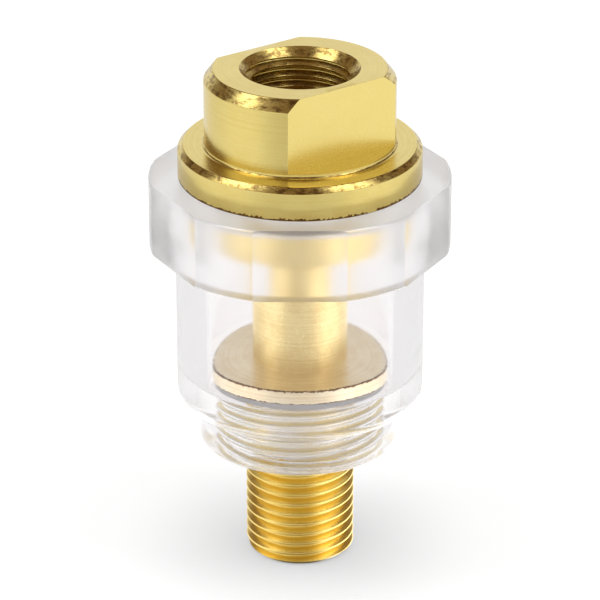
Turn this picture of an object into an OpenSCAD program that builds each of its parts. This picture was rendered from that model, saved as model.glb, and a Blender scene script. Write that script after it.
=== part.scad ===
// In-line air tool oiler: a clear bowl between a brass inlet head and a brass outlet nipple.
// Millimetres. The flow axis is Z, and Z = 0 is the end face of the outlet nipple.

/* [Pipe threads] */
// Outside diameter of the quarter inch parallel pipe thread at both ends
pipe_d = 13.157; // [12.6:0.001:13.6]
// Pitch of the pipe thread
pipe_pitch = 1.337; // [1.2:0.001:1.5]
// Length of outlet thread that stands out below the bowl
outlet_length = 15.3; // [12:0.1:20]
// Bore through the outlet nipple
outlet_bore = 6.4; // [5:0.1:7]

/* [Bowl] */
// Diameter of the stepped neck at the foot of the bowl
neck_d = 24.34; // [20:0.02:27]
// Height of the neck
neck_h = 5.45; // [4:0.05:8]
// Outside diameter of the bowl
body_d = 29.6; // [28.4:0.1:32]
// Height of the bowl between the neck and the collar
body_h = 19.65; // [17:0.05:28]
// Rounding of the bowl's lower edge
body_edge = 0.8; // [0.3:0.1:1.2]
// Thickness of the bowl's floor above the neck
floor_h = 3.1; // [2:0.1:5]
// Straight bore of the bowl
bowl_bore = 22.4; // [21.8:0.1:23]
// Distance across the six flats of the collar
collar_flats = 34; // [33:0.1:35]
// Diameter to which the collar's corners are turned
collar_d = 35.68; // [35.2:0.02:37]
// Height of the collar
collar_h = 8.85; // [8.6:0.05:12]

/* [Inlet head] */
// Diameter of the head's flange
flange_d = 28.8; // [27.6:0.1:30]
// Thickness of the flange
flange_h = 3.97; // [3.6:0.01:6]
// Diameter of the round barrel above the flange
barrel_d = 22.5; // [21:0.1:24]
// Height of the barrel
barrel_h = 9.28; // [9:0.02:12]
// Distance across the two spanner flats
spanner_flats = 16.45; // [15.6:0.05:18]
// Turn of the spanner flats about the axis
flats_turn = -54; // [-90:1:90]
// Length of the boss that reaches down into the bowl
boss_h = 7.1; // [6.6:0.1:9]
// Thickness of the rubber ring round the boss
ring_thick = 2.4; // [1.8:0.1:2.8]
// Number of air holes through the head's web
air_holes = 8; // [5:1:8]
// Diameter of each air hole
air_hole_d = 1.9; // [1.2:0.1:2.2]

/* [Stem and disc] */
// Diameter of the stem
stem_d = 11.36; // [11:0.02:11.8]
// Bore of the stem
stem_bore = 6; // [5.4:0.1:6.4]
// Diameter of the narrow throat in the stem's foot
throat_d = 3.8; // [3:0.1:4.4]
// Turns of thread that hold the head on the stem
thread_turns = 4; // [3:1:4]
// Thickness of the disc at the stem's foot
disc_h = 1.75; // [1.4:0.05:2.4]
// Thickness of the washer under the disc
washer_h = 0.8; // [0.5:0.1:1.2]
// Diameter of the felt wick
wick_d = 2; // [1.4:0.1:2.4]

/* [Needle] */
// Diameter of the needle's threaded shank
needle_d = 2.84; // [2.4:0.02:3]
// Height that the needle can be screwed up
needle_travel = 1; // [0.5:0.1:1.2]
// Height of the needle's slotted head
needle_head_h = 1.4; // [1:0.1:1.6]
// Thickness of the spring clip on the needle
clip_h = 0.4; // [0.3:0.05:0.6]

/* [Fits] */
// Radial gap where one piece slides or turns inside another
running_gap = 0.05; // [0.03:0.01:0.09]
// Gap between the crests and roots of the stem thread
thread_gap = 0.15; // [0.12:0.01:0.2]
// Gap that keeps facing pieces apart
face_gap = 0.3; // [0.2:0.05:0.4]
// Small chamfer on turned edges
edge = 0.2; // [0.1:0.05:0.3]

/* [Hidden] */
$fn = 96;
past = 1;

// Pipe thread form: 55 degree flanks, with equal flats on crest and root
pipe_depth = 0.64 * pipe_pitch;
pipe_flank = pipe_depth * tan(27.5);
pipe_flat = pipe_pitch / 2 - pipe_flank;
pipe_r = pipe_d / 2;
pipe_root_r = pipe_r - pipe_depth;
shank_r = pipe_r - 0.2;

// Heights of the bowl and of what stands on its floor
body_z = outlet_length + neck_h;
collar_z = body_z + body_h;
seat_z = collar_z + collar_h;
floor_z = body_z + floor_h;
disc_z = floor_z + washer_h;
disc_top_z = disc_z + disc_h;
bore_r = bowl_bore / 2;
disc_r = bore_r - 0.65;

// Stem thread: right hand, 60 degree flanks
stem_pitch = 1;
stem_depth = 0.57 * stem_pitch;
stem_r = stem_d / 2;
stem_crest_r = stem_r - 0.26;
stem_root_r = stem_crest_r - stem_depth;
socket_root_r = stem_crest_r + thread_gap + running_gap;
socket_crest_r = stem_root_r + thread_gap;
sleeve_wall = 0.5;
socket_r = socket_root_r + 0.7 * sleeve_wall;
boss_z = seat_z - boss_h;
shoulder_z = boss_z - edge;
stem_top_z = shoulder_z + thread_turns * stem_pitch + 0.75;
bleed_d = 0.8;
bleed_z = shoulder_z - 3;

// Foot of the stem, pressed into the nipple
foot_r = 4.6;
foot_h = 3.4;
foot_z = disc_top_z - foot_h;
throat_r = throat_d / 2;
throat_z = disc_top_z + 1.4;
throat_top_z = throat_z + 3.2;
wick_z = throat_z + 1.5;

// Inside of the head
flange_top_z = seat_z + flange_h;
top_z = flange_top_z + barrel_h;
boss_r = bore_r - 1.5;
ring_recess_r = boss_r + ring_thick + 2 * running_gap;
ring_recess_h = ring_thick + 2 * running_gap;
web_z = stem_top_z + 1.3;
web_top_z = web_z + 2.3;
needle_z = web_top_z + face_gap;
port_z = needle_z + needle_head_h + needle_travel + face_gap;
port_floor_r = pipe_root_r - 0.25;
mouth_chamfer = 1.37;
mouth_z = top_z - mouth_chamfer;

// Needle and its clip
needle_r = needle_d / 2;
needle_head_r = needle_r + 0.9;
clip_r = needle_r + 1;
clip_z = web_z - needle_travel - running_gap - clip_h;
clip_groove_r = needle_r - 0.4;
needle_tip_z = throat_top_z - 0.4;

// Side of a ring-grooved pipe thread, upwards from z0, with as many whole grooves as fit below z1
function grooves(land_r, floor_r, z0, z1) = [
    for (i = [0:floor((z1 - z0) / pipe_pitch) - 1])
        let (z = z0 + i * pipe_pitch)
        each [[land_r, z], [floor_r, z + pipe_flank], [floor_r, z + pipe_flank + pipe_flat],
            [land_r, z + 2 * pipe_flank + pipe_flat]]];

// Places of the crest's two edges and the root's two edges along one pitch of the stem thread
row_share = [0, 0.1, 0.43, 0.67];
rows = len(row_share);
segments = 40;

// A tube with a true helical thread on one face: the outer face when back_r is less than root_r
module thread_sleeve(back_r, root_r, crest_r, z_low, z_high, phase)
{
    count = rows * (ceil((z_high - z_low) / stem_pitch) + 3);
    start = floor(z_low / stem_pitch) - 2;
    fade = stem_pitch / 2;
    least = 0.02;
    function row_z(i, j) =
        stem_pitch * (start + phase + floor(j / rows) + row_share[j % rows] + i / segments);
    function row_point(i, j) = let (
        a = 360 * i / segments,
        z = row_z(i, j),
        low = z < z_low + least,
        high = z > z_high - least,
        ramp = min(1, (z - z_low) / fade, (z_high - z) / fade),
        r = low || high || j % rows > 1 ? root_r : root_r + (crest_r - root_r) * ramp)
        [r * cos(a), r * sin(a), low ? z_low : high ? z_high : z];
    front = [for (i = [0:segments - 1], j = [0:count]) row_point(i, j)];
    back = [for (i = [0:segments - 1], z = [z_low, z_high])
        [back_r * cos(360 * i / segments), back_r * sin(360 * i / segments), z]];
    front_count = segments * (count + 1);
    // A full turn of the helix meets the first column one pitch higher up
    function f(i, j) = i < segments ? i * (count + 1) + j : min(j + rows, count);
    function b(i, k) = front_count + (i % segments) * 2 + k;
    skin = [for (i = [0:segments - 1], j = [0:count - 1])
        each [[f(i, j), f(i, j + 1), f(i + 1, j + 1)], [f(i, j), f(i + 1, j + 1), f(i + 1, j)]]];
    rest = [for (i = [0:segments - 1]) each [
        [b(i, 0), b(i + 1, 1), b(i, 1)],
        [b(i, 0), b(i + 1, 0), b(i + 1, 1)],
        [f(i, 0), f(i + 1, 0), b(i + 1, 0)],
        [f(i, 0), b(i + 1, 0), b(i, 0)],
        [f(i, count), b(i + 1, 1), f(i + 1, count)],
        [f(i, count), b(i, 1), b(i + 1, 1)]]];
    triangles = concat(skin, rest);
    facing = back_r < root_r ? triangles : [for (t = triangles) [t[0], t[2], t[1]]];
    polyhedron(concat(front, back), facing, convexity = 12);
}

// A round hole from the axis outwards along Y at height z
module side_hole(d, z)
{
    translate([0, 0, z])
        rotate([-90, 0, 0])
            cylinder(h = stem_r + past, d = d);
}

// Brass nipple: pipe thread below, plain disc on the bowl's floor above
module outlet_nipple()
{
    end_chamfer = 0.57;
    bore = outlet_bore / 2;
    neck_step_z = outlet_length - edge;
    color([0.82, 0.63, 0.22])
        rotate_extrude()
            polygon(concat(
                [[bore + edge, 0], [pipe_r - end_chamfer, 0], [pipe_r, end_chamfer]],
                grooves(pipe_r, pipe_root_r, end_chamfer + edge, neck_step_z),
                [[pipe_r, neck_step_z], [shank_r, neck_step_z]],
                grooves(shank_r, pipe_root_r, neck_step_z + edge, disc_z),
                [[shank_r, disc_z], [disc_r - edge / 2, disc_z], [disc_r, disc_z + edge / 2],
                    [disc_r, disc_top_z - edge / 2], [disc_r - edge / 2, disc_top_z], [foot_r, disc_top_z],
                    [foot_r, foot_z], [bore, foot_z], [bore, edge]]));
}

// Washer that seals the disc to the bowl's floor
module nipple_seal()
{
    color([0.93, 0.93, 0.9])
        translate([0, 0, floor_z])
            difference() {
                cylinder(h = washer_h, r = disc_r - edge);
                translate([0, 0, -past])
                    cylinder(h = washer_h + 2 * past, r = pipe_r + edge);
            }
}

// Clear bowl: neck, round body and six-sided collar, bored straight from the top
module oil_bowl()
{
    body_r = body_d / 2;
    neck_r = neck_d / 2;
    collar_r = collar_d / 2;
    round_in = body_edge * (1 - cos(45));
    color([0.92, 0.93, 0.95, 0.35])
        difference() {
            union() {
                rotate_extrude()
                    polygon([[0, outlet_length], [neck_r - 2 * edge, outlet_length],
                        [neck_r, outlet_length + 2 * edge], [neck_r, body_z], [body_r - body_edge, body_z],
                        [body_r - round_in, body_z + round_in], [body_r, body_z + body_edge],
                        [body_r, collar_z + past], [0, collar_z + past]]);
                intersection() {
                    translate([0, 0, collar_z])
                        cylinder(h = collar_h, r = collar_flats / 2 / cos(30), $fn = 6);
                    rotate_extrude()
                        polygon([[0, collar_z], [collar_r - edge, collar_z], [collar_r, collar_z + edge],
                            [collar_r, seat_z - edge], [collar_r - edge, seat_z], [0, seat_z]]);
                }
            }
            translate([0, 0, floor_z])
                cylinder(h = seat_z - floor_z + past, r = bore_r);
            translate([0, 0, seat_z - ring_recess_h])
                cylinder(h = ring_recess_h + past, r = ring_recess_r);
            translate([0, 0, outlet_length - past])
                cylinder(h = floor_z - outlet_length + 2 * past, r = shank_r + running_gap);
        }
}

// Brass stem: pressed into the nipple below, threaded for the head above, with a narrow throat
module stem_tube()
{
    bore = stem_bore / 2;
    core_r = stem_root_r - edge / 2;
    color([0.85, 0.72, 0.4])
        difference() {
            union() {
                rotate_extrude()
                    polygon([[bore, foot_z], [foot_r - edge, foot_z], [foot_r, foot_z + edge],
                        [foot_r, disc_top_z], [stem_r, disc_top_z], [stem_r, shoulder_z - edge],
                        [stem_r - edge, shoulder_z], [core_r, shoulder_z], [core_r, stem_top_z - edge],
                        [core_r - edge, stem_top_z], [bore, stem_top_z], [bore, throat_top_z + 2],
                        [throat_r, throat_top_z], [throat_r, throat_z], [bore, foot_z + past]]);
                thread_sleeve(stem_root_r - sleeve_wall, stem_root_r, stem_crest_r,
                    shoulder_z + 0.35, stem_top_z - face_gap, 0);
            }
            side_hole(wick_d, wick_z);
            side_hole(bleed_d, bleed_z);
        }
}

// Felt plug that feeds oil through the stem's wall into the throat
module oil_wick()
{
    color([0.9, 0.88, 0.8])
        translate([0, throat_r + face_gap, wick_z])
            rotate([-90, 0, 0])
                cylinder(h = stem_r - throat_r, d = wick_d - running_gap);
}

// Ring of pale rubber round the head's boss
module head_seal()
{
    color([0.92, 0.9, 0.88])
        translate([0, 0, seat_z - running_gap - ring_thick / 2])
            rotate_extrude()
                translate([boss_r + running_gap + ring_thick / 2, 0])
                    circle(d = ring_thick);
}

// Brass head: port and spanner flats above, flange, and a boss that screws on the stem
module inlet_head()
{
    barrel_r = barrel_d / 2;
    flange_r = flange_d / 2;
    flange_edge = 0.67;
    barrel_edge = 1.07;
    flat_z = flange_top_z + 0.5;
    hole_circle_r = port_floor_r - air_hole_d / 2 - edge;
    color([0.88, 0.74, 0.36])
        difference() {
            rotate_extrude()
                polygon([[0, boss_z], [boss_r - edge, boss_z], [boss_r, boss_z + edge], [boss_r, seat_z],
                    [flange_r, seat_z], [flange_r, flange_top_z - flange_edge],
                    [flange_r - flange_edge, flange_top_z], [barrel_r, flange_top_z], [barrel_r, mouth_z],
                    [barrel_r - barrel_edge, top_z], [0, top_z]]);
            for (side = [0, 180])
                rotate([0, 0, flats_turn + side])
                    translate([spanner_flats / 2, -barrel_r, flat_z])
                        cube([barrel_r, 2 * barrel_r, barrel_h]);
            rotate_extrude()
                polygon(concat(
                    [[0, web_top_z], [port_floor_r, web_top_z], [port_floor_r, port_z],
                        [pipe_root_r, port_z]],
                    grooves(pipe_root_r, pipe_r, port_z + pipe_flank, mouth_z),
                    [[pipe_root_r, mouth_z], [pipe_root_r + mouth_chamfer, top_z],
                        [pipe_root_r + mouth_chamfer, top_z + past], [0, top_z + past]]));
            difference() {
                translate([0, 0, boss_z - past])
                    cylinder(h = web_z - boss_z + past, r = socket_r);
                thread_sleeve(socket_root_r + sleeve_wall, socket_root_r, socket_crest_r,
                    boss_z + face_gap, stem_top_z - edge / 2, 0.5);
            }
            translate([0, 0, web_z - past])
                cylinder(h = web_top_z - web_z + 2 * past, r = needle_r + running_gap);
            for (i = [1:air_holes])
                rotate([0, 0, 360 * i / air_holes])
                    translate([hole_circle_r, 0, web_z - past / 2])
                        cylinder(h = web_top_z - web_z + past, d = air_hole_d);
        }
}

// Spring clip under the head's web: it stops the needle from being screwed out
module needle_clip()
{
    mouth = clip_groove_r;
    color([0.75, 0.75, 0.78])
        translate([0, 0, clip_z])
            difference() {
                cylinder(h = clip_h, r = clip_r);
                translate([0, 0, -past])
                    cylinder(h = clip_h + 2 * past, r = clip_groove_r + running_gap);
                translate([0, -mouth / 2, -past])
                    cube([clip_r + past, mouth, clip_h + 2 * past]);
            }
}

// Slotted needle: its point narrows the stem's throat and so sets the oil feed
module metering_needle()
{
    slot_w = 0.6;
    slot_h = needle_head_h / 2;
    tip_r = 0.25;
    wire_r = needle_r - 0.3;
    head_top_z = needle_z + needle_head_h;
    color([0.85, 0.72, 0.4])
        difference() {
            rotate_extrude()
                polygon([[0, needle_tip_z], [tip_r, needle_tip_z], [wire_r, needle_tip_z + 4],
                    [wire_r, clip_z - 1], [needle_r, clip_z - 1 + face_gap], [needle_r, clip_z - running_gap],
                    [clip_groove_r, clip_z - running_gap], [clip_groove_r, clip_z + clip_h + running_gap],
                    [needle_r, clip_z + clip_h + running_gap], [needle_r, needle_z],
                    [needle_head_r, needle_z], [needle_head_r, head_top_z - edge],
                    [needle_head_r - edge, head_top_z], [0, head_top_z]]);
            translate([-slot_w / 2, -needle_head_r - past, head_top_z - slot_h])
                cube([slot_w, 2 * (needle_head_r + past), slot_h + past]);
        }
}

outlet_nipple();
nipple_seal();
oil_bowl();
stem_tube();
oil_wick();
head_seal();
inlet_head();
needle_clip();
metering_needle();
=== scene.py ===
"""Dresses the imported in-line air tool oiler: brass ends, a clear bowl and soft seals on a white table."""
import math

import bpy
from bpy.props import FloatProperty, FloatVectorProperty, IntProperty, PointerProperty
from bpy.types import NodeSocket, Operator, Panel, PropertyGroup
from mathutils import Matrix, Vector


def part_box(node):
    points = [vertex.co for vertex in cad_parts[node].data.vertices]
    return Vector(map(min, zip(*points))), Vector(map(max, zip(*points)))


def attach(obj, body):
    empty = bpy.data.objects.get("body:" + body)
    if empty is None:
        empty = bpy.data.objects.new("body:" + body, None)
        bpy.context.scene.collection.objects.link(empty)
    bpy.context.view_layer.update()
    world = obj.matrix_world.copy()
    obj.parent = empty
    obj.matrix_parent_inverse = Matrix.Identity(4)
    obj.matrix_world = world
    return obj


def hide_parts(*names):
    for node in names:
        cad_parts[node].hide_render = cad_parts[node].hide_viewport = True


bl_info = {
    "name": "In-line air tool oiler",
    "version": (1, 0, 0),
    "blender": (4, 5, 0),
    "location": "View3D > Sidebar > Oiler",
    "description": "Builds a clear in-line oiler with brass ends on its packed solids",
    "category": "Add Mesh",
}

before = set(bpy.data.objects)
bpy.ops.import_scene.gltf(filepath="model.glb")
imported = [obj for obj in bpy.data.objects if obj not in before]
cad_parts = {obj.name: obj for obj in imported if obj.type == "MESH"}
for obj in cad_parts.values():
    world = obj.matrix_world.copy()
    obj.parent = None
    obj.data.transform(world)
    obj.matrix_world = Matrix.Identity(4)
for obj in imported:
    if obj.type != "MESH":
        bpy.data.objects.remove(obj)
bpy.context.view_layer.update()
MM = 0.001
EDGE = 0.2 * MM  # an eased edge
SEAM = 0.0005 * MM  # points closer than this are one point
SLIVER = 0.004 * MM  # edges and faces thinner than this are dissolved
ON_PLANE = 1e-8  # a point this near to a cutting plane lies on it
FULL_TURN = 2 * math.pi
CROSSWISE = (math.pi / 2, 0, 0)  # turns an upright cylinder to lie along Y
SMOOTH_ANGLE = math.radians(32)  # edges that bend less are shaded smooth

# One pitch of a thread as (share of the pitch, share of the depth), and its depth as a share of the pitch.
THREAD_FORM = ((0, 0), (0.07, 0.02), (0.12, 0.09), (0.36, 0.86), (0.41, 0.96), (0.47, 1),
               (0.53, 1), (0.59, 0.96), (0.64, 0.86), (0.88, 0.09), (0.93, 0.02), (1, 0))
PIPE_DEPTH = 0.64
STEM_DEPTH = 0.57

TABLE_RADIUS, TABLE_DROP = 0.8, 0.01 * MM
# The table glows more, by this factor, from the first to the second of these distances from the axis, so
# the dimmer table near the foot is a painted contact shadow.
GLOW_RING, GLOW_RISE = (0.007, 0.024), 1.3
# The nipple mirrors the middle of the table, and beyond these radii the bowl, its collar and the head do.
BOWL_RING, COLLAR_RING, HEAD_RING = 0.042, 0.102, 0.121
# Painted light on the table that each of them mirrors: in front, to both sides, lean to the right, share
# behind.
NIPPLE_PATCH = (0.0, 1.9, 0.45, 0.7)
BODY_PATCH = (0.3, 0.33, 0.0, 0.95)
COLLAR_PATCH = (0.4, 0.5, 0.0, 1.0)
HEAD_PATCH = (0.14, 0.55, 0.1, 0.7)
INNER_PATCH = (0.5, 1.25, 0.14, 0.7)
# Walls of the bowl that a ray has passed: any at all, and both on the way in to metal and out again.
ANY_WALL, ALL_WALLS = 0.5, 3.5
INNER_DIM = -0.15
STUDIO_WHITE, STUDIO_DARK = (1, 1, 1, 1), (0.2, 0.12, 0.065, 1)
LAMPS = {"lamp_left": (-0.235, -0.035, 0.37), "lamp_right": (0.215, -0.09, 0.37)}
LAMP_WIDTH, LAMP_HEIGHT, LAMP_AIM = 0.17, 1.3 * 0.17, 0.04
BOUNCES = 24


def length(name, description, millimetres):
    """A size in metres, written here in millimetres."""
    return FloatProperty(name=name, description=description, default=millimetres * MM, min=0.0,
                         precision=5, subtype="DISTANCE", unit="LENGTH")


def height(name, description, node, end):
    """A height that is the low (0) or high (1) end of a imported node."""
    return FloatProperty(name=name, description=description, default=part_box(node)[end][2], min=0.0,
                         precision=5, subtype="DISTANCE", unit="LENGTH")


def angle(name, description, degrees):
    """An angle, written here in degrees."""
    return FloatProperty(name=name, description=description, default=math.radians(degrees), subtype="ANGLE",
                         unit="ROTATION")


def factor(name, description, value):
    """A share between 0 and 1."""
    return FloatProperty(name=name, description=description, default=value, min=0.0, max=1.0,
                         subtype="FACTOR")


def tint(name, description, *colour):
    """A linear colour of a finish."""
    return FloatVectorProperty(name=name, description=description, default=colour, size=3, min=0.0, max=1.0,
                               subtype="COLOR")


class OilerSizes(PropertyGroup):
    """Sizes of the turned and moulded pieces"""

    pipe_diameter: length("Pipe thread", "Outer diameter of both pipe threads", 13.157)
    pipe_pitch: length("Pipe pitch", "Pitch of both pipe threads", 1.337)
    outlet_bore: length("Outlet bore", "Bore of the nipple", 6.4)
    disc_diameter: length("Disc", "Diameter of the disc on the bowl's floor", 21.1)
    disc_height: length("Disc height", "Thickness of the disc", 1.75)
    washer_height: length("Washer height", "Thickness of the washer under the disc", 0.8)
    neck_diameter: length("Neck", "Diameter of the bowl's neck", 24.34)
    neck_height: length("Neck height", "Height of the bowl's neck", 5.45)
    body_diameter: length("Body", "Diameter of the bowl's round body", 29.6)
    body_rounding: length("Body rounding", "Rounding of the body's lower edge", 1.6)
    bowl_bore: length("Bowl bore", "Bore of the oil space", 22.4)
    collar_height: length("Collar height", "Height of the six-sided collar", 8.85)
    collar_flats: length("Collar flats", "Width across the collar's flats", 34.0)
    collar_diameter: length("Collar corners", "Diameter over the collar's turned corners", 35.68)
    stem_diameter: length("Stem", "Diameter of the stem", 11.36)
    stem_bore: length("Stem bore", "Bore of the stem", 6.0)
    stem_pitch: length("Stem pitch", "Pitch of the thread between stem and head", 1.0)
    boss_radius: length("Boss radius", "Radius of the head's boss inside the bowl", 9.7)
    ring_thickness: length("Seal ring", "Thickness of the rubber ring round the boss", 2.4)
    flange_diameter: length("Flange", "Diameter of the head's flange", 28.8)
    flange_height: length("Flange height", "Thickness of the head's flange", 3.97)
    barrel_diameter: length("Barrel", "Diameter of the head's barrel", 22.5)
    spanner_flats: length("Spanner flats", "Width across the head's two flats", 16.45)
    flats_turn: angle("Flats turn", "Direction that one spanner flat faces", -54)
    needle_diameter: length("Needle", "Diameter of the needle's shank", 2.84)
    air_holes: IntProperty(name="Air holes", description="Air holes round the needle", default=8, min=3,
                           max=12)
    neck_low: height("Neck low", "Underside of the bowl's neck", "oil_bowl", 0)
    seat: height("Seat", "Top of the collar, where the flange sits", "oil_bowl", 1)
    disc_top: height("Disc top", "Top of the nipple's disc", "outlet_nipple", 1)
    stem_low: height("Stem low", "Foot of the stem inside the nipple", "stem_tube", 0)
    stem_top: height("Stem top", "Top of the stem", "stem_tube", 1)
    boss_low: height("Boss low", "Underside of the head's boss", "inlet_head", 0)
    head_top: height("Head top", "Top face of the head", "inlet_head", 1)
    clip_low: height("Clip low", "Underside of the spring clip", "needle_clip", 0)
    clip_top: height("Clip top", "Top of the spring clip", "needle_clip", 1)
    needle_low: height("Needle low", "Point of the needle", "metering_needle", 0)
    needle_top: height("Needle top", "Top of the needle's slotted head", "metering_needle", 1)


class OilerFinishes(PropertyGroup):
    """Colours of the metals, plastics and seals"""

    head_brass: tint("Head brass", "Pale turned brass of the head", 0.76, 0.615, 0.215)
    head_deep: tint("Head brass, deep", "Deeper tone in the head's brass", 0.66, 0.48, 0.11)
    nipple_brass: tint("Nipple brass", "Deep gold brass of the nipple's thread", 0.89, 0.67, 0.20)
    nipple_deep: tint("Nipple brass, deep", "Deeper tone in the nipple's brass", 0.64, 0.40, 0.055)
    # Stem and disc brass are painted paler than the head's: painted light standing in for the milky glow
    # and highlights that the clear bowl lays over them.
    stem_brass: tint("Stem brass", "Pale satin brass of stem, boss and needle", 0.97, 0.81, 0.40)
    stem_deep: tint("Stem brass, deep", "Deeper tone in the stem's brass", 0.80, 0.58, 0.22)
    painted_pale_disc_brass: tint("Painted pale disc brass", "Pale brass of the disc", 0.98, 0.87, 0.64)
    disc_deep: tint("Disc brass, deep", "Deeper tone in the disc's brass", 0.86, 0.68, 0.42)
    sealant: tint("Sealant", "Pale sealant on the nipple's thread inside the neck", 0.93, 0.90, 0.87)
    # Also the colour of the head's chamfer patches, which are partly wear and partly painted shade.
    tarnish: tint("Tarnish", "Brown tarnish along burred edges", 0.16, 0.075, 0.02)
    clear_plastic: tint("Clear plastic", "Faint tint of the clear bowl", 0.945, 0.93, 0.935)
    pale_rubber: tint("Pale rubber", "Seal ring", 0.86, 0.83, 0.81)
    white_washer: tint("White washer", "Washer under the disc", 0.94, 0.92, 0.91)
    felt: tint("Felt", "Wick", 0.74, 0.70, 0.58)
    spring_steel: tint("Spring steel", "Clip on the needle", 0.56, 0.56, 0.58)


class OilerStage(PropertyGroup):
    """Camera, table and lights"""

    camera_distance: length("Camera distance", "From the camera to its aim", 392.28)
    camera_elevation: angle("Camera elevation", "Height angle of the camera", 24.99)
    aim_height: length("Aim height", "Height on the axis that the camera looks at", 32.74)
    lens: FloatProperty(name="Lens", description="Focal length on a 36 mm sensor", default=196.6, min=1.0,
                        subtype="DISTANCE_CAMERA", unit="CAMERA")
    table_white: factor("Table white", "Reflectance of the table", 0.6)
    # Its dimmer ring near the foot is a painted contact shadow.
    table_glow: factor("Table glow", "White added to the table as it is seen beside the part", 0.39)
    soft_light: factor("Soft light", "Strength of the light from all round", 0.75)
    lamp_power: FloatProperty(name="Lamp power", description="Power of each soft lamp in watts",
                              default=0.3, min=0.0)


# ---------------------------------------------------------------- modelling


def deselect():
    """Leaves edit mode and deselects everything."""
    if bpy.context.object and bpy.context.object.mode != "OBJECT":
        bpy.ops.object.mode_set(mode="OBJECT")
    bpy.ops.object.select_all(action="DESELECT")


def pick(piece):
    """Selects one piece alone."""
    deselect()
    piece.select_set(True)
    bpy.context.view_layer.objects.active = piece


def eased(points):
    """Rounds the outline's corners that give a third value, how far back the rounding starts."""
    out = []
    for i, point in enumerate(points):
        if len(point) == 2:
            out.append(point)
            continue
        r, z, back = point
        ends = []
        for other in (points[i - 1], points[(i + 1) % len(points)]):
            dr, dz = other[0] - r, other[1] - z
            share = back / math.hypot(dr, dz)
            ends.append((r + dr * share, z + dz * share))
        for t in (0.0, 0.25, 0.5, 0.75, 1.0):
            a, b, c = (1 - t) ** 2, 2 * t * (1 - t), t * t
            out.append((a * ends[0][0] + b * r + c * ends[1][0], a * ends[0][1] + b * z + c * ends[1][1]))
    return out


def drawn(name, points):
    """A line of edges through points of (radius, height), in edit mode."""
    deselect()
    bpy.ops.mesh.primitive_plane_add(size=MM)
    piece = bpy.context.object
    piece.name = name
    bpy.ops.object.mode_set(mode="EDIT")
    bpy.ops.mesh.select_mode(type="VERT")
    bpy.ops.mesh.select_all(action="SELECT")
    bpy.ops.mesh.merge(type="CENTER")
    bpy.ops.transform.translate(value=(points[0][0], 0, points[0][1]))
    for (r0, z0), (r1, z1) in zip(points, points[1:]):
        bpy.ops.mesh.extrude_vertices_move(TRANSFORM_OT_translate={"value": (r1 - r0, 0, z1 - z0)})
    return piece


def close_up():
    """Merges the seam of the mesh in edit mode and turns its faces outwards."""
    bpy.ops.mesh.select_all(action="SELECT")
    bpy.ops.mesh.remove_doubles(threshold=SEAM)
    bpy.ops.mesh.normals_make_consistent(inside=False)
    bpy.ops.object.mode_set(mode="OBJECT")


def turned(name, outline, closed=True, steps=144):
    """A piece spun about the vertical axis from an outline of (radius, height)."""
    points = eased(outline)
    piece = drawn(name, points + points[:1] if closed else points)
    bpy.ops.mesh.select_all(action="SELECT")
    bpy.ops.mesh.remove_doubles(threshold=SEAM)
    bpy.ops.mesh.select_all(action="SELECT")
    bpy.ops.mesh.spin(steps=steps, angle=FULL_TURN, center=(0, 0, 0), axis=(0, 0, 1))
    close_up()
    return piece


def threaded(name, pitch, root, crest, low, high, steps=72):
    """A rod with a right-hand thread and flat closed ends; threads of one pitch fit into each other."""
    start = (math.floor(low / pitch) - 2) * pitch
    turns = math.ceil((high - low) / pitch) + 5
    piece = drawn(name, [(root + (crest - root) * rise, start + pitch * along)
                         for along, rise in THREAD_FORM])
    bpy.ops.object.mode_set(mode="OBJECT")
    bpy.ops.object.modifier_add(type="SCREW")
    screw = piece.modifiers[-1]
    screw.angle = FULL_TURN
    screw.screw_offset = pitch
    screw.iterations = turns
    screw.steps = screw.render_steps = steps
    screw.use_merge_vertices = True
    screw.merge_threshold = SEAM
    bpy.ops.object.modifier_apply(modifier=screw.name)
    bpy.ops.object.mode_set(mode="EDIT")
    for level, up in ((low, -1), (high, 1)):
        bpy.ops.mesh.select_all(action="SELECT")
        bpy.ops.mesh.bisect(plane_co=(0, 0, level), plane_no=(0, 0, up), use_fill=True, clear_outer=True,
                            threshold=ON_PLANE)
    close_up()
    return piece


def rod(radius, depth, place, turn=(0, 0, 0), sides=48):
    """A plain cylinder."""
    deselect()
    bpy.ops.mesh.primitive_cylinder_add(vertices=sides, radius=radius, depth=depth, location=place,
                                        rotation=turn)
    return bpy.context.object


def bar(size, place, turn=0.0):
    """A box turned about its upright axis, to mill with."""
    deselect()
    bpy.ops.mesh.primitive_cube_add(size=1, location=place, rotation=(0, 0, turn), scale=size)
    return bpy.context.object


def joined(piece, tool, how="DIFFERENCE"):
    """Cuts a tool away from a piece, or adds it or keeps what they share, and removes the tool."""
    pick(piece)
    bpy.ops.object.modifier_add(type="BOOLEAN")
    step = piece.modifiers[-1]
    step.operation = how
    step.solver = "MANIFOLD"
    step.object = tool
    bpy.ops.object.modifier_apply(modifier=step.name)
    bpy.data.objects.remove(tool, do_unlink=True)
    return piece


def ease_flats(piece, normals, reach, width):
    """Bevels the outline of the flat faces that look along the normals at that distance from the axis."""
    pick(piece)
    bpy.ops.object.mode_set(mode="EDIT")
    bpy.ops.mesh.select_mode(type="FACE")
    bpy.ops.mesh.select_all(action="DESELECT")
    bpy.ops.object.mode_set(mode="OBJECT")
    for face in piece.data.polygons:
        for x, y in normals:
            along = face.center[0] * x + face.center[1] * y
            if face.normal[0] * x + face.normal[1] * y > 0.9999 and abs(along - reach) < 0.01 * MM:
                face.select = True
    bpy.ops.object.mode_set(mode="EDIT")
    bpy.ops.mesh.region_to_loop()
    bpy.ops.mesh.bevel(offset=width, segments=3, affect="EDGES", clamp_overlap=True)
    bpy.ops.object.mode_set(mode="OBJECT")


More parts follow.
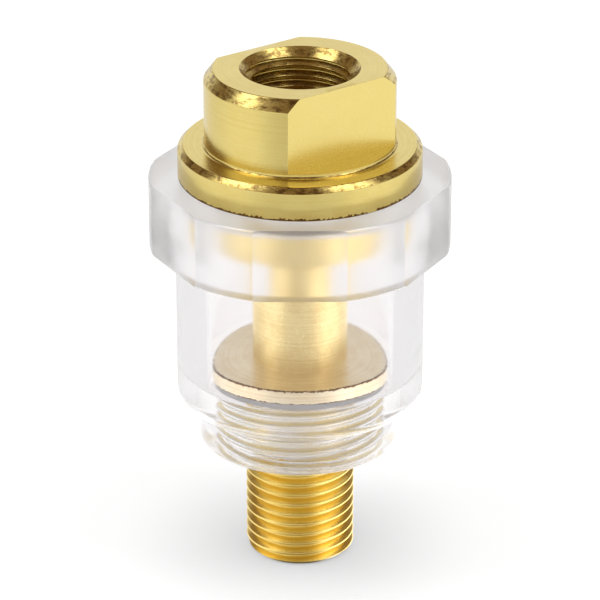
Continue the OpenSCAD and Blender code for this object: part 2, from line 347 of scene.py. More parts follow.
def dress(piece, material, node, body):
    """Cleans and smooths a finished piece, gives it its material and puts it in the place of its solid."""
    pick(piece)
    bpy.ops.object.mode_set(mode="EDIT")
    bpy.ops.mesh.select_all(action="SELECT")
    bpy.ops.mesh.dissolve_degenerate(threshold=SLIVER)
    bpy.ops.object.mode_set(mode="OBJECT")
    bpy.ops.object.shade_smooth_by_angle(angle=SMOOTH_ANGLE)
    bpy.ops.object.modifier_add(type="WEIGHTED_NORMAL")
    piece.modifiers[-1].keep_sharp = True
    bpy.ops.object.modifier_apply(modifier=piece.modifiers[-1].name)
    piece.data.materials.clear()
    piece.data.materials.append(material)
    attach(piece, body)
    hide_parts(node)
    deselect()


# ---------------------------------------------------------------- shader nodes


def add(tree, kind, given=None, **settings):
    """Adds a node with its settings; each input is given another node's output or a plain value."""
    node = tree.nodes.new(kind)
    for name, value in settings.items():
        setattr(node, name, value)
    for socket, value in (given or {}).items():
        if isinstance(value, NodeSocket):
            tree.links.new(value, node.inputs[socket])
        else:
            node.inputs[socket].default_value = value
    return node


def link(tree, node, **sources):
    """Links outputs of other nodes to a node's named inputs."""
    for label, source in sources.items():
        tree.links.new(source, node.inputs[label.replace("_", " ")])


def maths(tree, operation, *terms):
    """A sum of outputs and plain numbers, by the name of its operation."""
    return add(tree, "ShaderNodeMath", dict(enumerate(terms)), operation=operation).outputs[0]


def product(tree, first, *others):
    """All the factors multiplied."""
    for other in others:
        first = maths(tree, "MULTIPLY", first, other)
    return first


def above(tree, source, limit):
    """1 above a limit and 0 below it."""
    return maths(tree, "GREATER_THAN", source, limit)


def ramp(tree, source, low, high, first=0.0, last=1.0, kind="SMOOTHSTEP"):
    """A change from one value to another while the source goes from low to high."""
    given = {"Value": source, "From Min": low, "From Max": high, "To Min": first, "To Max": last}
    return add(tree, "ShaderNodeMapRange", given, interpolation_type=kind).outputs[0]


def noise(tree, place, scale, **given):
    """Noise at a place."""
    return add(tree, "ShaderNodeTexNoise", {"Vector": place, "Scale": scale, **given}).outputs[0]


def lines(tree, along, **given):
    """Noise that changes along one value alone."""
    given = {"W": along, "Scale": 1, **given}
    return add(tree, "ShaderNodeTexNoise", given, noise_dimensions="1D").outputs[0]


def mixed(tree, share, first, last):
    """Two colours mixed."""
    return add(tree, "ShaderNodeMix", {"Factor": share, 6: first, 7: last}, data_type="RGBA").outputs[2]


def either(tree, share, first, last):
    """Two values mixed."""
    return add(tree, "ShaderNodeMix", {0: share, 2: first, 3: last}).outputs[0]


def parts(tree, vector):
    """The three parts of a vector."""
    return add(tree, "ShaderNodeSeparateXYZ", {0: vector}).outputs


def distance(tree, vector):
    """The length of a vector."""
    return add(tree, "ShaderNodeVectorMath", {0: vector}, operation="LENGTH").outputs["Value"]


def lathe_place(tree):
    """Coordinates on a turned piece, and the height and radius there."""
    place = add(tree, "ShaderNodeTexCoord").outputs
    x, y, z = parts(tree, place["Object"])
    flat = add(tree, "ShaderNodeCombineXYZ", {0: x, 1: y})
    return place, z, distance(tree, flat.outputs[0])


def new_group(name, inputs, outputs):
    """An empty shader group with float and colour sockets; inputs give their defaults."""
    tree = bpy.data.node_groups.new(name, "ShaderNodeTree")
    for label, default in inputs.items():
        kind = "NodeSocketColor" if isinstance(default, tuple) else "NodeSocketFloat"
        tree.interface.new_socket(name=label, in_out="INPUT", socket_type=kind).default_value = default
    for label, kind in outputs.items():
        tree.interface.new_socket(name=label, in_out="OUTPUT", socket_type=kind)
    return tree, tree.nodes.new("NodeGroupInput").outputs, tree.nodes.new("NodeGroupOutput")


def lathe_marks(name):
    """Group: fine lines that run round a turned piece, along its sides and across its end faces."""
    tree, given, result = new_group(name, {"Lines per mm": 6.0, "Waver": 0.25},
                                    {"Height": "NodeSocketFloat", "Streak": "NodeSocketFloat"})
    place, z, radius = lathe_place(tree)
    upright = maths(tree, "ABSOLUTE", parts(tree, place["Normal"])[2])
    along = either(tree, above(tree, upright, 0.6), z, radius)
    sway = product(tree, noise(tree, place["Object"], 260), given["Waver"])
    dense = maths(tree, "MULTIPLY_ADD", product(tree, along, 1 / MM), given["Lines per mm"], sway)
    link(tree, result, Height=lines(tree, dense, Detail=3, Roughness=0.65),
         Streak=lines(tree, product(tree, dense, 0.45)))
    return tree


def metal_tone(name):
    """Group: two tones of one metal in soft clouds, and a roughness that varies in specks."""
    tree, given, result = new_group(
        name, {"Colour": (0.8, 0.65, 0.2, 1), "Deep Colour": (0.6, 0.4, 0.1, 1), "Streak": 0.5,
               "Depth": 0.5, "Grain": 0.2, "Roughness": 0.25, "Roughness Spread": 0.1},
        {"Colour": "NodeSocketColor", "Roughness": "NodeSocketFloat"})
    place = add(tree, "ShaderNodeTexCoord").outputs["Object"]
    cloud = noise(tree, place, 420, Detail=4)
    speck = maths(tree, "SUBTRACT", noise(tree, place, 5200), 0.5)
    blend = maths(tree, "ADD", maths(tree, "MULTIPLY_ADD", speck, given["Grain"], cloud), given["Streak"])
    share = ramp(tree, blend, 0.75, 1.3, 0.0, given["Depth"])
    link(tree, result, Colour=mixed(tree, share, given["Colour"], given["Deep Colour"]),
         Roughness=maths(tree, "MULTIPLY_ADD", speck, given["Roughness Spread"], given["Roughness"]))
    return tree


def edge_burr(name):
    """Group: a ragged line round a turned edge at one height and outside one radius."""
    tree, given, result = new_group(name, {"Level": 0.0, "Radius": 0.0, "Width": 0.00015},
                                    {"Mask": "NodeSocketFloat"})
    place, z, radius = lathe_place(tree)
    ragged = noise(tree, place["Object"], 3200, Detail=3)
    width = ramp(tree, ragged, 0.25, 0.7, 0.0, given["Width"], "LINEAR")
    off = maths(tree, "ABSOLUTE", maths(tree, "SUBTRACT", z, given["Level"]))
    outside = above(tree, radius, maths(tree, "SUBTRACT", given["Radius"], width))
    link(tree, result, Mask=product(tree, maths(tree, "LESS_THAN", off, width), outside))
    return tree


def chamfer_wear_and_shade(name):
    """Group: ragged patches on a turned part's sloping edges, partly wear and partly painted shade."""
    tree, given, result = new_group(name, {"Amount": 0.6}, {"Mask": "NodeSocketFloat"})
    place = add(tree, "ShaderNodeTexCoord").outputs
    off = maths(tree, "ABSOLUTE", maths(tree, "SUBTRACT", parts(tree, place["Normal"])[2], 0.7))
    squash = add(tree, "ShaderNodeMapping", {"Vector": place["Object"], "Scale": (1, 1, 2.5)})
    ragged = noise(tree, squash.outputs[0], 900, Detail=5, Roughness=0.7)
    patch = ramp(tree, ragged, 0.44, 0.64, 0.0, given["Amount"])
    link(tree, result, Mask=product(tree, ramp(tree, off, 0.25, 0.1), patch))
    return tree


def placed(tree, build, **given):
    """A shader group, built at its first use, in a material with its own input values."""
    name = build.__name__.replace("_", " ").capitalize()
    group = bpy.data.node_groups.get(name) or build(name)
    given = {label.replace("_", " "): value for label, value in given.items()}
    return add(tree, "ShaderNodeGroup", given, node_tree=group)


# ---------------------------------------------------------------- finishes


def new_material(name):
    """A material with only its shader, as (material, node tree, shader)."""
    material = bpy.data.materials.new(name)
    material.use_nodes = True
    tree = material.node_tree
    return material, tree, tree.nodes["Principled BSDF"]


def brass(name, colour, deep, roughness, spread, lines_per_mm, depth, burrs=(), tarnish=None, brushed=0.0,
          tone_depth=0.4, grain=0.2, worn_and_shaded=0.0):
    """Turned metal: two tones, lathe lines, chamfers darkened partly by wear and partly by painted shade,
    and tarnished burrs (height, radius, width).
    """
    material, tree, shader = new_material(name)
    marks = placed(tree, lathe_marks, Lines_per_mm=lines_per_mm)
    tone = placed(tree, metal_tone, Colour=(*colour, 1), Deep_Colour=(*deep, 1), Depth=tone_depth,
                  Streak=marks.outputs["Streak"], Grain=grain, Roughness=roughness, Roughness_Spread=spread)
    base = tone.outputs["Colour"]
    masks = [placed(tree, edge_burr, Level=level, Radius=radius, Width=width)
             for level, radius, width in burrs]
    # Chamfer patches: partly wear, partly painted shade.
    if worn_and_shaded:
        masks.append(placed(tree, chamfer_wear_and_shade, Amount=worn_and_shaded))
    for mask in masks:
        base = mixed(tree, mask.outputs[0], base, (*tarnish, 1))
    bump = add(tree, "ShaderNodeBump", {"Height": marks.outputs["Height"], "Distance": depth})
    link(tree, shader, Base_Color=base, Roughness=tone.outputs["Roughness"], Normal=bump.outputs[0])
    shader.inputs["Metallic"].default_value = 1.0
    if brushed:
        shader.inputs["Anisotropic"].default_value = brushed
        shader.inputs["Anisotropic Rotation"].default_value = 0.25
        round_z = add(tree, "ShaderNodeTangent", direction_type="RADIAL", axis="Z")
        link(tree, shader, Tangent=round_z.outputs[0])
    return material


def clear_plastic(name, colour, hazy_above, hazy_outside):
    """Moulded clear plastic with faint flow marks, hazy on the collar's faces."""
    material, tree, shader = new_material(name)
    place, z, radius = lathe_place(tree)
    flow = noise(tree, place["Object"], 160, Detail=2)
    hazy = product(tree, above(tree, z, hazy_above), above(tree, radius, hazy_outside))
    base = ramp(tree, hazy, 0.0, 1.0, 0.02, 0.26, "LINEAR")
    bump = add(tree, "ShaderNodeBump", {"Height": flow, "Distance": 0.005 * MM})
    link(tree, shader, Roughness=maths(tree, "MULTIPLY_ADD", flow, 0.12, base), Normal=bump.outputs[0])
    shader.inputs["Base Color"].default_value = (*colour, 1)
    shader.inputs["Transmission Weight"].default_value = 1.0
    shader.inputs["IOR"].default_value = 1.49
    return material


def soft(name, colour, roughness, scale, depth, stretch=(1, 1, 1), clear=0.0):
    """Rubber, plastic washer or felt: a mottled tone and a small relief, and partly clear if need be."""
    material, tree, shader = new_material(name)
    place = add(tree, "ShaderNodeTexCoord").outputs["Object"]
    pulled = add(tree, "ShaderNodeMapping", {"Vector": place, "Scale": stretch})
    grain = noise(tree, pulled.outputs[0], scale, Detail=4)
    dark, light = (*(c * 0.86 for c in colour), 1), (*(min(1, c * 1.08) for c in colour), 1)
    bump = add(tree, "ShaderNodeBump", {"Height": grain, "Distance": depth})
    link(tree, shader, Base_Color=mixed(tree, grain, dark, light), Normal=bump.outputs[0],
         Roughness=ramp(tree, grain, 0.0, 1.0, roughness - 0.1, roughness + 0.1, "LINEAR"))
    shader.inputs["Transmission Weight"].default_value = clear
    return material


# ---------------------------------------------------------------- pieces


class OILER_OT_nipple(Operator):
    """Turns the nipple with its pipe thread and the disc on the bowl's floor"""

    bl_idname = "oiler.nipple"
    bl_label = "Outlet nipple"

    def execute(self, context):
        s, f = context.scene.oiler_sizes, context.scene.oiler_finishes
        outer, bore, rim = s.pipe_diameter / 2, s.outlet_bore / 2, s.disc_diameter / 2
        root = outer - PIPE_DEPTH * s.pipe_pitch
        shank = outer - 0.2 * MM
        disc_low = s.disc_top - s.disc_height
        chamfer, disc_edge, foot_hole = 0.57 * MM, 0.12 * MM, 4.6 * MM
        piece = threaded("threaded_nipple", s.pipe_pitch, root, outer, 0, disc_low + 0.4 * MM)
        blank = turned("nipple_blank", [
            (0, -MM), (outer - 1.3 * MM, -MM), (outer - chamfer, 0), (outer, chamfer),
            (outer, s.neck_low - EDGE), (shank, s.neck_low - EDGE + 0.1 * MM), (shank, disc_low + MM),
            (0, disc_low + MM)], closed=False)
        joined(piece, blank, "INTERSECT")
        disc = turned("disc_blank", [
            (0, disc_low), (rim, disc_low, disc_edge), (rim, s.disc_top, disc_edge), (0, s.disc_top)],
            closed=False)
        joined(piece, disc, "UNION")
        drill = turned("nipple_drill", [
            (0, -MM), (bore + EDGE + MM, -MM), (bore, EDGE), (bore, s.stem_low), (foot_hole, s.stem_low),
            (foot_hole, s.disc_top + MM), (0, s.disc_top + MM)], closed=False, steps=96)
        joined(piece, drill)
        gold = brass("nipple_brass", f.nipple_brass, f.nipple_deep, 0.3, 0.16, 5.0, 0.004 * MM)
        dress(piece, gold, "outlet_nipple", "bowl_unit")
        coat = brass("sealed_thread", f.sealant, f.stem_brass, 0.42, 0.2, 5.0, 0.004 * MM, tone_depth=0.7)
        # The disc's pale brass is painted light: the bowl's milky glow over it.
        faced = brass("painted_pale_disc_brass", f.painted_pale_disc_brass, f.disc_deep, 0.32, 0.2, 7.0, 0.006 * MM,
                      burrs=[(disc_low, rim, 0.22 * MM), (s.disc_top, rim, 0.28 * MM)], tarnish=f.tarnish,
                      brushed=0.6, tone_depth=0.8, grain=0.8)
        piece.data.materials.append(coat)
        piece.data.materials.append(faced)
        for face in piece.data.polygons:
            if face.center[2] > disc_low - 0.05 * MM:
                face.material_index = 2
            elif face.center[2] > s.neck_low:
                face.material_index = 1
        return {"FINISHED"}


class OILER_OT_bowl(Operator):
    """Moulds the clear bowl: neck with an inner thread, round body and six-sided collar"""

    bl_idname = "oiler.bowl"
    bl_label = "Clear bowl"

    def execute(self, context):
        s, f = context.scene.oiler_sizes, context.scene.oiler_finishes
        outer = s.pipe_diameter / 2
        root = outer - PIPE_DEPTH * s.pipe_pitch + 0.07 * MM
        groove = outer - 0.13 * MM
        neck, body, bore = s.neck_diameter / 2, s.body_diameter / 2, s.bowl_bore / 2
        body_low = s.neck_low + s.neck_height
        floor = s.disc_top - s.disc_height - s.washer_height
        collar_low = s.seat - s.collar_height
        corner, reach = s.collar_diameter / 2, s.collar_flats / 2
        recess = s.boss_radius + s.ring_thickness + 0.1 * MM
        recess_low = s.seat - s.ring_thickness - 0.1 * MM
        piece = turned("clear_bowl", [
            (root, s.neck_low), (neck, s.neck_low, 0.5 * MM), (neck, body_low, 0.25 * MM),
            (body, body_low, s.body_rounding), (body, collar_low, 0.25 * MM),
            (corner, collar_low, 0.3 * MM), (corner, s.seat, 0.3 * MM),
            (recess, s.seat, 0.12 * MM), (recess, recess_low, 0.2 * MM),
            (bore, recess_low, 0.12 * MM), (bore, floor, 0.4 * MM), (root, floor)])
        bpy.ops.object.mode_set(mode="EDIT")
        sides = []
        for i in range(6):
            a = math.radians(30 + 60 * i)
            x, y = math.cos(a), math.sin(a)
            sides.append((x, y))
            bpy.ops.mesh.select_all(action="SELECT")
            bpy.ops.mesh.bisect(plane_co=(x * reach, y * reach, 0), plane_no=(x, y, 0), use_fill=True,
                                clear_outer=True, threshold=ON_PLANE)
        close_up()
        ease_flats(piece, sides, reach, 0.22 * MM)
        tap = threaded("neck_tap", s.pipe_pitch, root - 0.02 * MM, groove, s.neck_low - MM, floor + MM)
        joined(piece, tap)
        clear = clear_plastic("clear_plastic", f.clear_plastic, collar_low - 0.2 * MM, recess + 0.1 * MM)
        dress(piece, clear, "oil_bowl", "bowl_unit")
        return {"FINISHED"}


class OILER_OT_stem(Operator):
    """Turns the stem with its throat, cross holes and the thread that holds the head"""

    bl_idname = "oiler.stem"
    bl_label = "Stem"

    def execute(self, context):
        s, f = context.scene.oiler_sizes, context.scene.oiler_finishes
        r, bore = s.stem_diameter / 2, s.stem_bore / 2
        foot, throat = 4.58 * MM, 1.9 * MM
        crest = r - 0.26 * MM
        root = crest - STEM_DEPTH * s.stem_pitch
        core = root - 0.05 * MM
        shoulder = s.boss_low - EDGE
        throat_low, throat_top = s.disc_top + 1.4 * MM, s.disc_top + 4.6 * MM
        piece = turned("satin_stem", [
            (0, s.stem_low), (foot, s.stem_low, EDGE), (foot, s.disc_top), (r, s.disc_top),
            (r, shoulder, EDGE), (core, shoulder), (core, s.stem_top, EDGE), (0, s.stem_top)], closed=False)
        screw = threaded("stem_screw", s.stem_pitch, root, crest, shoulder + 0.35 * MM,
                         s.stem_top - 0.3 * MM)
        joined(piece, screw, "UNION")
        drill = turned("stem_drill", [
            (0, s.stem_low - MM), (bore, s.stem_low - MM), (bore, s.stem_low), (throat, throat_low),
            (throat, throat_top), (bore, throat_top + 2 * MM), (bore, s.stem_top + MM),
            (0, s.stem_top + MM)], closed=False, steps=96)
        joined(piece, drill)
        wick_hole, bleed_hole = (2.0 * MM, throat_low + 1.5 * MM), (0.8 * MM, shoulder - 3 * MM)
        for wide, level in (wick_hole, bleed_hole):
            joined(piece, rod(wide / 2, 2 * r, (0, r + 0.2 * MM, level), CROSSWISE))
        # The stem's pale brass is painted light: the bowl's milky glow and highlights over it.
        satin = brass("stem_brass", f.stem_brass, f.stem_deep, 0.3, 0.2, 9.0, 0.008 * MM, brushed=0.8,
                      tone_depth=0.7, grain=0.7)
        dress(piece, satin, "stem_tube", "bowl_unit")
        return {"FINISHED"}


class OILER_OT_head(Operator):
    """Turns the head, mills its spanner flats and cuts its port, air holes and socket"""

    bl_idname = "oiler.head"
    bl_label = "Inlet head"

    def execute(self, context):
        s, f = context.scene.oiler_sizes, context.scene.oiler_finishes
        flange, barrel, reach = s.flange_diameter / 2, s.barrel_diameter / 2, s.spanner_flats / 2
        flange_top = s.seat + s.flange_height
        flange_chamfer, top_chamfer, mouth_depth, corner = 0.67 * MM, 1.07 * MM, 1.37 * MM, 0.12 * MM
        pipe = s.pipe_diameter / 2
        pipe_root = pipe - PIPE_DEPTH * s.pipe_pitch
        floor_radius = pipe_root - 0.25 * MM
        mouth = s.head_top - mouth_depth
        needle_low = s.needle_top - 1.4 * MM
        web_top = needle_low - 0.3 * MM
        web, web_middle = web_top - 2.3 * MM, web_top - 1.15 * MM
        port = s.needle_top + 1.3 * MM
        socket = 5.1 * MM
        piece = turned("turned_head", [
            (0, s.boss_low), (s.boss_radius, s.boss_low, EDGE), (s.boss_radius, s.seat, 0.1 * MM),
            (flange, s.seat, 0.08 * MM), (flange, flange_top - flange_chamfer, corner),
            (flange - flange_chamfer, flange_top, corner), (barrel, flange_top, 0.45 * MM),
            (barrel, mouth, corner), (barrel - top_chamfer, s.head_top, corner), (0, s.head_top)],
            closed=False)
        drill = turned("socket_drill", [
            (0, s.boss_low - MM), (6.2 * MM, s.boss_low - MM), (socket, s.boss_low + 0.5 * MM),
            (socket, web), (0, web)], closed=False)
        joined(piece, drill)
        tap = threaded("socket_tap", s.stem_pitch, 5.0 * MM, 5.62 * MM, s.boss_low - MM, web - 1.2 * MM)
        joined(piece, tap)
        sides = []
        for side in (0, math.pi):
            a = s.flats_turn + side
            x, y = math.cos(a), math.sin(a)
            sides.append((x, y))
            away = reach + barrel / 2
            low = flange_top + 0.5 * MM
            joined(piece, bar((barrel, 2.2 * barrel, 20 * MM), (x * away, y * away, low + 10 * MM), a))
        ease_flats(piece, sides, reach, 0.05 * MM)
        drill = turned("port_drill", [
            (0, web_top), (floor_radius, web_top), (floor_radius, port), (pipe_root, port),
            (pipe_root, mouth, 0.1 * MM), (pipe_root + mouth_depth, s.head_top, corner),
            (pipe_root + 1.6 * MM, s.head_top + MM), (0, s.head_top + MM)], closed=False)
        joined(piece, drill)
        tap = threaded("port_tap", s.pipe_pitch, pipe_root - 0.05 * MM, pipe, port + 0.2 * MM,
                       s.head_top + MM)
        joined(piece, tap)
        drill = rod(0.95 * MM, 6 * MM, (pipe_root - 1.4 * MM, 0, web_middle), sides=32)
        bpy.ops.object.transform_apply()
        bpy.ops.object.mode_set(mode="EDIT")
        bpy.ops.mesh.select_all(action="SELECT")
        bpy.ops.mesh.spin(steps=s.air_holes, angle=FULL_TURN, dupli=True, center=(0, 0, 0), axis=(0, 0, 1))
        bpy.ops.mesh.select_all(action="SELECT")
        bpy.ops.mesh.remove_doubles(threshold=SEAM)
        bpy.ops.object.mode_set(mode="OBJECT")
        joined(piece, drill)
        joined(piece, rod(s.needle_diameter / 2 + 0.05 * MM, 6 * MM, (0, 0, web_middle)))
        # The head's chamfer patches are partly wear and partly painted shade.
        pale = brass("head_brass", f.head_brass, f.head_deep, 0.24, 0.16, 6.0, 0.004 * MM,
                     burrs=[(s.seat, flange, 0.45 * MM)], tarnish=f.tarnish, brushed=0.3, tone_depth=0.3,
                     grain=0.7, worn_and_shaded=0.8)
        dress(piece, pale, "inlet_head", "head")
        milled = brass("milled_brass", f.head_brass, f.head_deep, 0.26, 0.1, 40.0, 0.0008 * MM,
                       tone_depth=0.12)
        # The boss takes the stem's brass, painted pale as light through the bowl.
        satin = brass("boss_brass", f.stem_brass, f.stem_deep, 0.3, 0.14, 9.0, 0.006 * MM, brushed=0.8,
                      tone_depth=0.6)
        piece.data.materials.append(milled)
        piece.data.materials.append(satin)
        for face in piece.data.polygons:
            if any(face.normal[0] * x + face.normal[1] * y > 0.999 for x, y in sides):
                face.material_index = 1
            if face.center[2] < s.seat - 0.02 * MM:
                face.material_index = 2
        return {"FINISHED"}


class OILER_OT_seals(Operator):
    """Makes the rubber ring, the washer under the disc and the felt wick"""

    bl_idname = "oiler.seals"
    bl_label = "Seals and wick"

    def execute(self, context):
        s, f = context.scene.oiler_sizes, context.scene.oiler_finishes
        half, points = s.ring_thickness / 2, 32
        middle, level = s.boss_radius + 0.05 * MM + half, s.seat - 0.05 * MM - half
        turns = [math.tau * i / points for i in range(points)]
        ring = turned("seal_ring", [
            (middle + half * math.cos(a), level + half * math.sin(a)) for a in turns])
        rubber = soft("pale_rubber", f.pale_rubber, 0.42, 900, 0.004 * MM, clear=0.7)
        dress(ring, rubber, "head_seal", "seal_ring")
        disc_low = s.disc_top - s.disc_height
        floor = disc_low - s.washer_height
        rim, hole = s.disc_diameter / 2 - EDGE, s.pipe_diameter / 2 + EDGE
        washer = turned("disc_washer", [
            (hole, floor, 0.1 * MM), (rim, floor, 0.15 * MM), (rim, disc_low, 0.15 * MM),
            (hole, disc_low, 0.1 * MM)])
        white = soft("white_washer", f.white_washer, 0.45, 1400, 0.004 * MM, clear=0.3)
        dress(washer, white, "nipple_seal", "bowl_unit")
        low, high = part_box("oil_wick")
        wick = rod((high[0] - low[0]) / 2, high[1] - low[1],
                   (0, (low[1] + high[1]) / 2, (low[2] + high[2]) / 2), CROSSWISE)
        wick.name = "felt_wick"
        bpy.ops.object.transform_apply()
        bpy.ops.object.modifier_add(type="BEVEL")
        wick.modifiers[-1].width = 0.15 * MM
        wick.modifiers[-1].segments = 3
        bpy.ops.object.modifier_apply(modifier=wick.modifiers[-1].name)
        felt = soft("felt", f.felt, 0.85, 3800, 0.05 * MM, (1, 0.35, 1))
        dress(wick, felt, "oil_wick", "bowl_unit")
        return {"FINISHED"}


class OILER_OT_needle(Operator):
    """Turns the slotted needle and cuts the spring clip that keeps it in the head"""

    bl_idname = "oiler.needle"
    bl_label = "Needle and clip"

    def execute(self, context):
        s, f = context.scene.oiler_sizes, context.scene.oiler_finishes
        r = s.needle_diameter / 2
        groove, wire, cap = r - 0.4 * MM, r - 0.3 * MM, r + 0.9 * MM
        gap = 0.05 * MM
        cap_low = s.needle_top - 1.4 * MM
        piece = turned("slotted_needle", [
            (0, s.needle_low), (0.25 * MM, s.needle_low, 0.1 * MM), (wire, s.needle_low + 4 * MM),
            (wire, s.clip_low - MM), (r, s.clip_low - 0.7 * MM), (r, s.clip_low - gap),
            (groove, s.clip_low - gap), (groove, s.clip_top + gap), (r, s.clip_top + gap),
            (r, cap_low), (cap, cap_low, 0.08 * MM), (cap, s.needle_top, EDGE), (0, s.needle_top)],
            closed=False, steps=96)
        joined(piece, bar((0.6 * MM, 3 * cap, 1.4 * MM), (0, 0, s.needle_top)))
        # The needle takes the stem's brass, painted pale.
        satin = brass("needle_brass", f.stem_brass, f.stem_deep, 0.26, 0.12, 9.0, 0.004 * MM, brushed=0.3)
        dress(piece, satin, "metering_needle", "needle")
        corner = 0.06 * MM
        clip = turned("needle_spring_clip", [
            (groove + gap, s.clip_low, corner), (r + MM, s.clip_low, corner), (r + MM, s.clip_top, corner),
            (groove + gap, s.clip_top, corner)], steps=96)
        joined(clip, bar((4 * MM, groove, 4 * MM), (2 * MM, 0, s.clip_low)))
        steel = brass("spring_steel", f.spring_steel, [c * 0.8 for c in f.spring_steel], 0.3, 0.15, 8.0,
                      0.004 * MM)
        dress(clip, steel, "needle_clip", "clip")
        return {"FINISHED"}


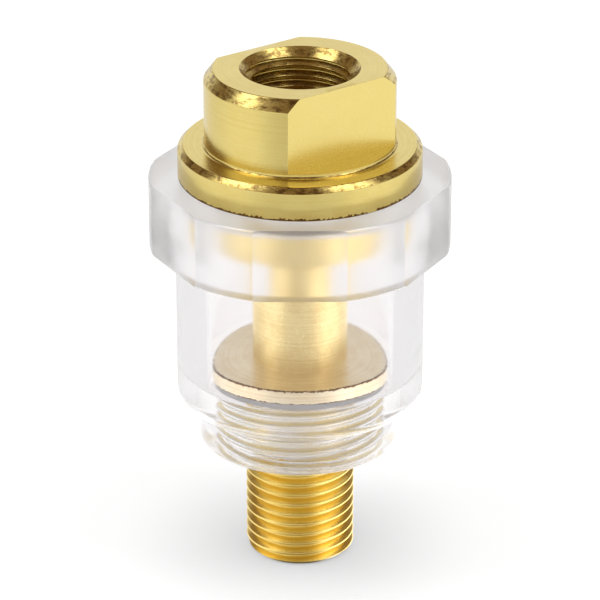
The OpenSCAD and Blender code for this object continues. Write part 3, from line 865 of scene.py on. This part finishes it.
class OILER_OT_stage(Operator):
    """Sets the white table, the soft lamps, the pale surroundings and the camera"""

    bl_idname = "oiler.stage"
    bl_label = "Stage"

    def patch(self, tree, side, front, sides, lean, far):
        """Painted light on the table that grows from the front to both sides, and more to the right by the
        lean.
        """
        return product(tree, ramp(tree, side[1], -1.0, -0.55, front, sides),
                       ramp(tree, side[1], -0.3, 0.5, 1.0, far),
                       ramp(tree, side[0], -0.7, 0.7, 1.0 - lean, 1.0 + lean))

    def mirrored(self, tree, ray):
        """1 for a ray that a surface has mirrored, and 0 for others."""
        return above(tree, ray["Glossy Depth"], 0.5)

    def table(self, stage):
        """A white table that keeps the part's shadow, deepened near the foot by a painted contact shadow;
        metal and plastic mirror patches of painted light on it.
        """
        deselect()
        bpy.ops.mesh.primitive_circle_add(vertices=96, radius=TABLE_RADIUS, fill_type="NGON",
                                          location=(0, 0, -TABLE_DROP))
        table = bpy.context.object
        table.name = "table"
        material, tree, shader = new_material("table_white")
        shader.inputs["Base Color"].default_value = (stage.table_white,) * 3 + (1,)
        shader.inputs["Roughness"].default_value = 0.9
        shader.inputs["Specular IOR Level"].default_value = 0.0
        shader.inputs["Emission Color"].default_value = (1, 1, 1, 1)
        ray = add(tree, "ShaderNodeLightPath").outputs
        place = add(tree, "ShaderNodeTexCoord").outputs["Object"]
        radius = distance(tree, place)
        side = parts(tree, add(tree, "ShaderNodeVectorMath", {0: place}, operation="NORMALIZE").outputs[0])
        # Painted reflections: glowing patches on the table that only mirrored rays see, set by which piece
        # mirrors them.
        shine, body, collar, head, inner = (self.patch(tree, side, *levels) for levels in (
            NIPPLE_PATCH, BODY_PATCH, COLLAR_PATCH, HEAD_PATCH, INNER_PATCH))
        bowl = either(tree, above(tree, radius, COLLAR_RING), body, collar)
        walls = ray["Transmission Depth"]
        for source, limit, level in ((radius, BOWL_RING, bowl), (radius, HEAD_RING, head),
                                     (walls, ANY_WALL, bowl), (walls, ALL_WALLS, inner)):
            shine = either(tree, above(tree, source, limit), shine, level)
        # Painted contact shadow: the glow is dimmer near the foot.
        glow = ramp(tree, radius, *GLOW_RING, stage.table_glow, GLOW_RISE * stage.table_glow)
        seen = product(tree, maths(tree, "SUBTRACT", 1.0, ray["Is Diffuse Ray"]), glow)
        link(tree, shader, Emission_Strength=either(tree, self.mirrored(tree, ray), seen, shine))
        table.data.materials.append(material)

    def surroundings(self, scene, stage):
        """White all round; metal outside the bowl mirrors it dark overhead, ahead and behind both sides."""
        world = bpy.data.worlds.new("studio")
        scene.world = world
        world.use_nodes = True
        tree = world.node_tree
        ray = add(tree, "ShaderNodeLightPath").outputs
        x, y, z = parts(tree, add(tree, "ShaderNodeTexCoord").outputs["Generated"])
        aside = maths(tree, "ABSOLUTE", x)
        overhead = ramp(tree, z, 0.5, 0.72)
        behind = product(tree, ramp(tree, aside, 0.25, 0.55), ramp(tree, y, 0.0, 0.25),
                         ramp(tree, z, 0.1, 0.3))
        ahead = product(tree, ramp(tree, y, -0.75, -0.5, 1.0, 0.0), ramp(tree, aside, 0.2, 0.5, 1.0, 0.0),
                        ramp(tree, z, 0.3, 0.44))
        shade = maths(tree, "MAXIMUM", maths(tree, "MAXIMUM", behind, overhead), ahead)
        walls = ray["Transmission Depth"]
        outside = product(tree, maths(tree, "LESS_THAN", walls, ANY_WALL), ray["Is Glossy Ray"])
        colour = mixed(tree, product(tree, shade, outside), STUDIO_WHITE, STUDIO_DARK)
        inside = product(tree, above(tree, walls, ALL_WALLS), self.mirrored(tree, ray))
        dim = maths(tree, "MULTIPLY_ADD", inside, INNER_DIM, 1.0)
        level = maths(tree, "MULTIPLY_ADD", ray["Is Diffuse Ray"], stage.soft_light - 1.0, dim)
        link(tree, tree.nodes["Background"], Color=colour, Strength=level)

    def execute(self, context):
        scene = context.scene
        stage = scene.oiler_stage
        self.table(stage)
        self.surroundings(scene, stage)
        for name, (x, y, z) in LAMPS.items():
            deselect()
            bpy.ops.object.light_add(type="AREA", location=(x, y, z))
            lamp = context.object
            lamp.name = name
            lamp.data.shape = "RECTANGLE"
            lamp.data.size, lamp.data.size_y = LAMP_WIDTH, LAMP_HEIGHT
            lamp.data.energy = stage.lamp_power
            lean = math.atan2(math.hypot(x, y), z - LAMP_AIM)
            lamp.rotation_euler = (lean, 0, math.atan2(y, x) + math.pi / 2)
        rise = stage.camera_elevation
        deselect()
        bpy.ops.object.camera_add(
            location=(0, -stage.camera_distance * math.cos(rise),
                      stage.aim_height + stage.camera_distance * math.sin(rise)),
            rotation=(math.pi / 2 - rise, 0, 0))
        camera = context.object
        camera.data.lens = stage.lens
        camera.data.sensor_width = 36
        camera.data.clip_start = 0.01
        scene.camera = camera
        scene.view_settings.view_transform = "Standard"
        scene.cycles.caustics_reflective = False
        scene.cycles.max_bounces = scene.cycles.glossy_bounces = scene.cycles.transmission_bounces = BOUNCES
        return {"FINISHED"}


class OILER_PT_panel(Panel):
    """Lists the pieces in the order that they are made"""

    bl_label = "In-line oiler"
    bl_idname = "OILER_PT_panel"
    bl_space_type = "VIEW_3D"
    bl_region_type = "UI"
    bl_category = "Oiler"

    def draw(self, context):
        for step in STEPS:
            self.layout.operator(step.bl_idname)
        for group in (context.scene.oiler_sizes, context.scene.oiler_finishes, context.scene.oiler_stage):
            box = self.layout.box()
            for name in group.__annotations__:
                box.prop(group, name)


STEPS = (OILER_OT_nipple, OILER_OT_bowl, OILER_OT_stem, OILER_OT_head, OILER_OT_seals, OILER_OT_needle,
         OILER_OT_stage)
GROUPS = {"oiler_sizes": OilerSizes, "oiler_finishes": OilerFinishes, "oiler_stage": OilerStage}


def register():
    for kind in (*GROUPS.values(), *STEPS, OILER_PT_panel):
        bpy.utils.register_class(kind)
    for name, group in GROUPS.items():
        setattr(bpy.types.Scene, name, PointerProperty(type=group))


def unregister():
    for name in GROUPS:
        delattr(bpy.types.Scene, name)
    for kind in (OILER_PT_panel, *reversed(STEPS), *GROUPS.values()):
        bpy.utils.unregister_class(kind)


def main():
    register()
    bpy.ops.oiler.nipple()
    bpy.ops.oiler.bowl()
    bpy.ops.oiler.stem()
    bpy.ops.oiler.head()
    bpy.ops.oiler.seals()
    bpy.ops.oiler.needle()
    bpy.ops.oiler.stage()


if __name__ == "__main__":
    main()
